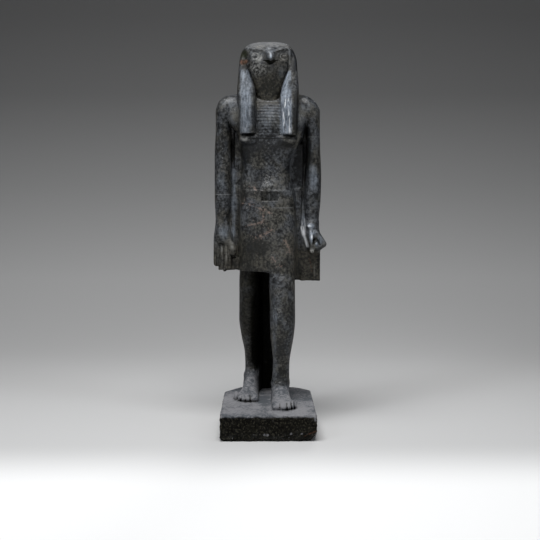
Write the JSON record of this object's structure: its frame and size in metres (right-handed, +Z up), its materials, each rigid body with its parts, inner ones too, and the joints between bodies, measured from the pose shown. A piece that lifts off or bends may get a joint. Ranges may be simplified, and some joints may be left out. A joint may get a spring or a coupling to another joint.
{
  "type": "stone statue",
  "caption": "Striding stone figure with a falcon's head, headcloth, broad collar, belt and kilt, on its own low plinth against a back pillar.",
  "frame": {"origin": "on the plinth's underside, at the middle of its width and depth", "axes": "+Z up; the figure faces -Y, so its own right side is towards -X"},
  "size_m": [0.5063, 0.665, 1.716],
  "materials": {
    "stone": "worn semi-polished dark granodiorite, rough at the plinth's sides"
  },
  "bodies": {
    "root": {"horus_figure": "stone"}
  },
  "joints": []
}
